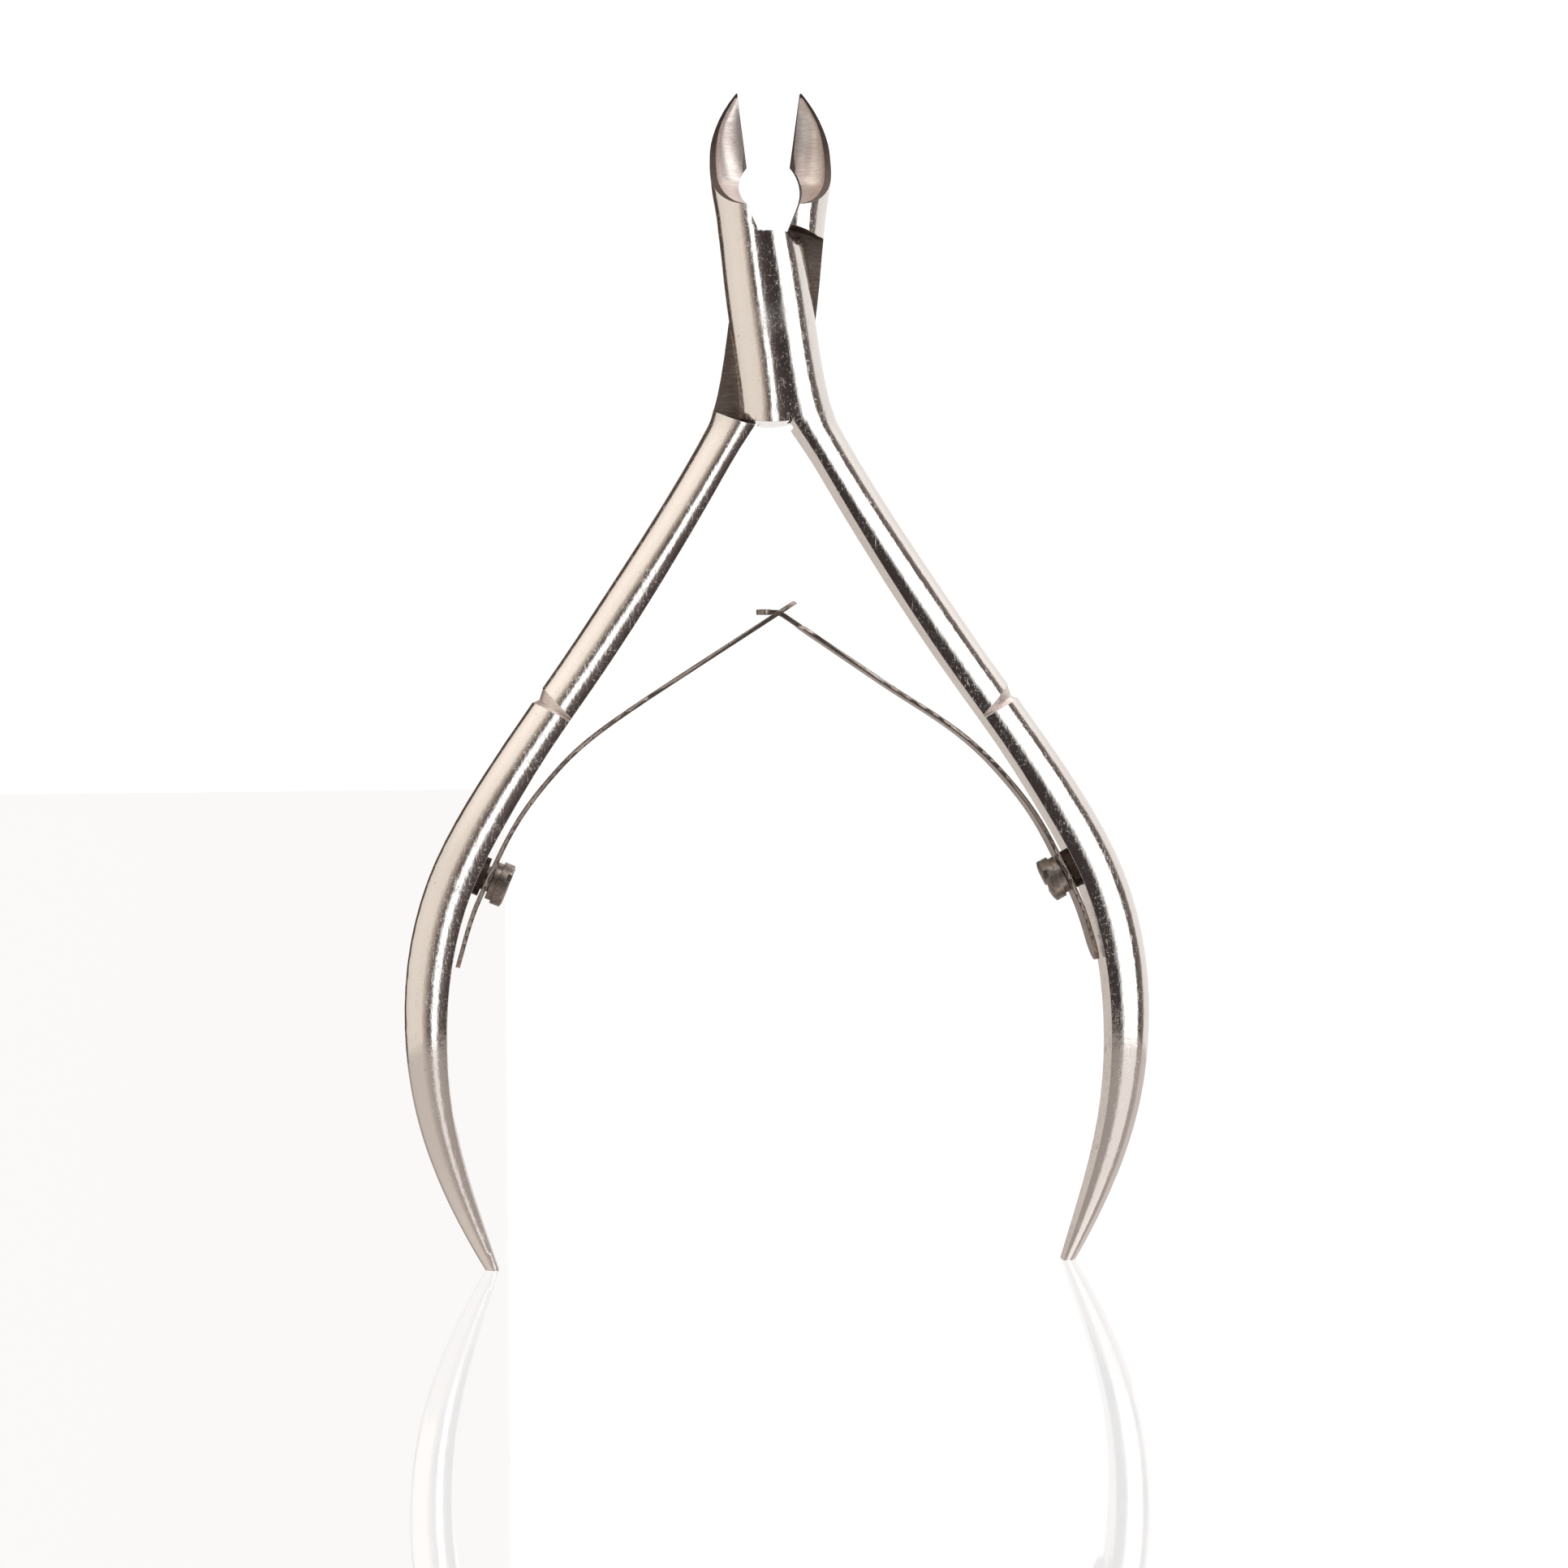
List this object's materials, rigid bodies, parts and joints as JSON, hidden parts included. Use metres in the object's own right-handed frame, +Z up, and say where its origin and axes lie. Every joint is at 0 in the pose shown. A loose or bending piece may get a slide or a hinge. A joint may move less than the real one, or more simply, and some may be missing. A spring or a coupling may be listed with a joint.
{
  "type": "cuticle nipper",
  "caption": "Small hand nipper: two half-round polished levers crossing at a lap joint, hollow-ground pointed jaws, held open by interlocking leaf springs.",
  "frame": {"origin": "on the plane of the two handle tips, midway between them, in the mating plane of the two laps (centre of the bottom of the overall box)", "axes": "+Z up from the handle tips to the jaws, +X to the right seen from the front (the side the hollow-ground jaws face), +Y from front to back along the pivot axis"},
  "size_m": [0.0732, 0.008, 0.1151],
  "materials": {
    "polished_steel": "mirror-polished stainless steel with fine scratches, ground matt on the jaw faces and lap flats",
    "spring_steel": "bright rolled spring strip",
    "screw_steel": "turned steel, slightly dull and worn"
  },
  "bodies": {
    "rear": {"rear_lever": "polished_steel", "pivot_rivet": "polished_steel", "left_spring_screw": "screw_steel"},
    "front": {"front_lever": "polished_steel", "right_spring_screw": "screw_steel"},
    "left_leaf": {"left_leaf_spring": "spring_steel"},
    "right_leaf": {"right_leaf_spring": "spring_steel"}
  },
  "joints": [
    {"name": "pivot", "type": "hinge", "parent": "rear", "child": "front", "pos_m": [0, 0, 0.0925], "axis": [0, 1, 0], "range_deg": [0, 15.4], "stiffness_Nm_per_rad": 0.35},
    {"name": "left_leaf_bend", "type": "hinge", "parent": "rear", "child": "left_leaf", "pos_m": [-0.022, 0, 0.0481], "axis": [0, 1, 0], "range_deg": [-11, 0], "deforming": ["left_leaf_spring"]},
    {"name": "right_leaf_bend", "type": "hinge", "parent": "front", "child": "right_leaf", "pos_m": [0.022, 0, 0.0481], "axis": [0, 1, 0], "range_deg": [0, 11], "deforming": ["right_leaf_spring"]}
  ],
  "couplings": [
    {"joint": "left_leaf_bend", "follows": "pivot", "ratio": -0.71},
    {"joint": "right_leaf_bend", "follows": "pivot", "ratio": 0.71}
  ]
}
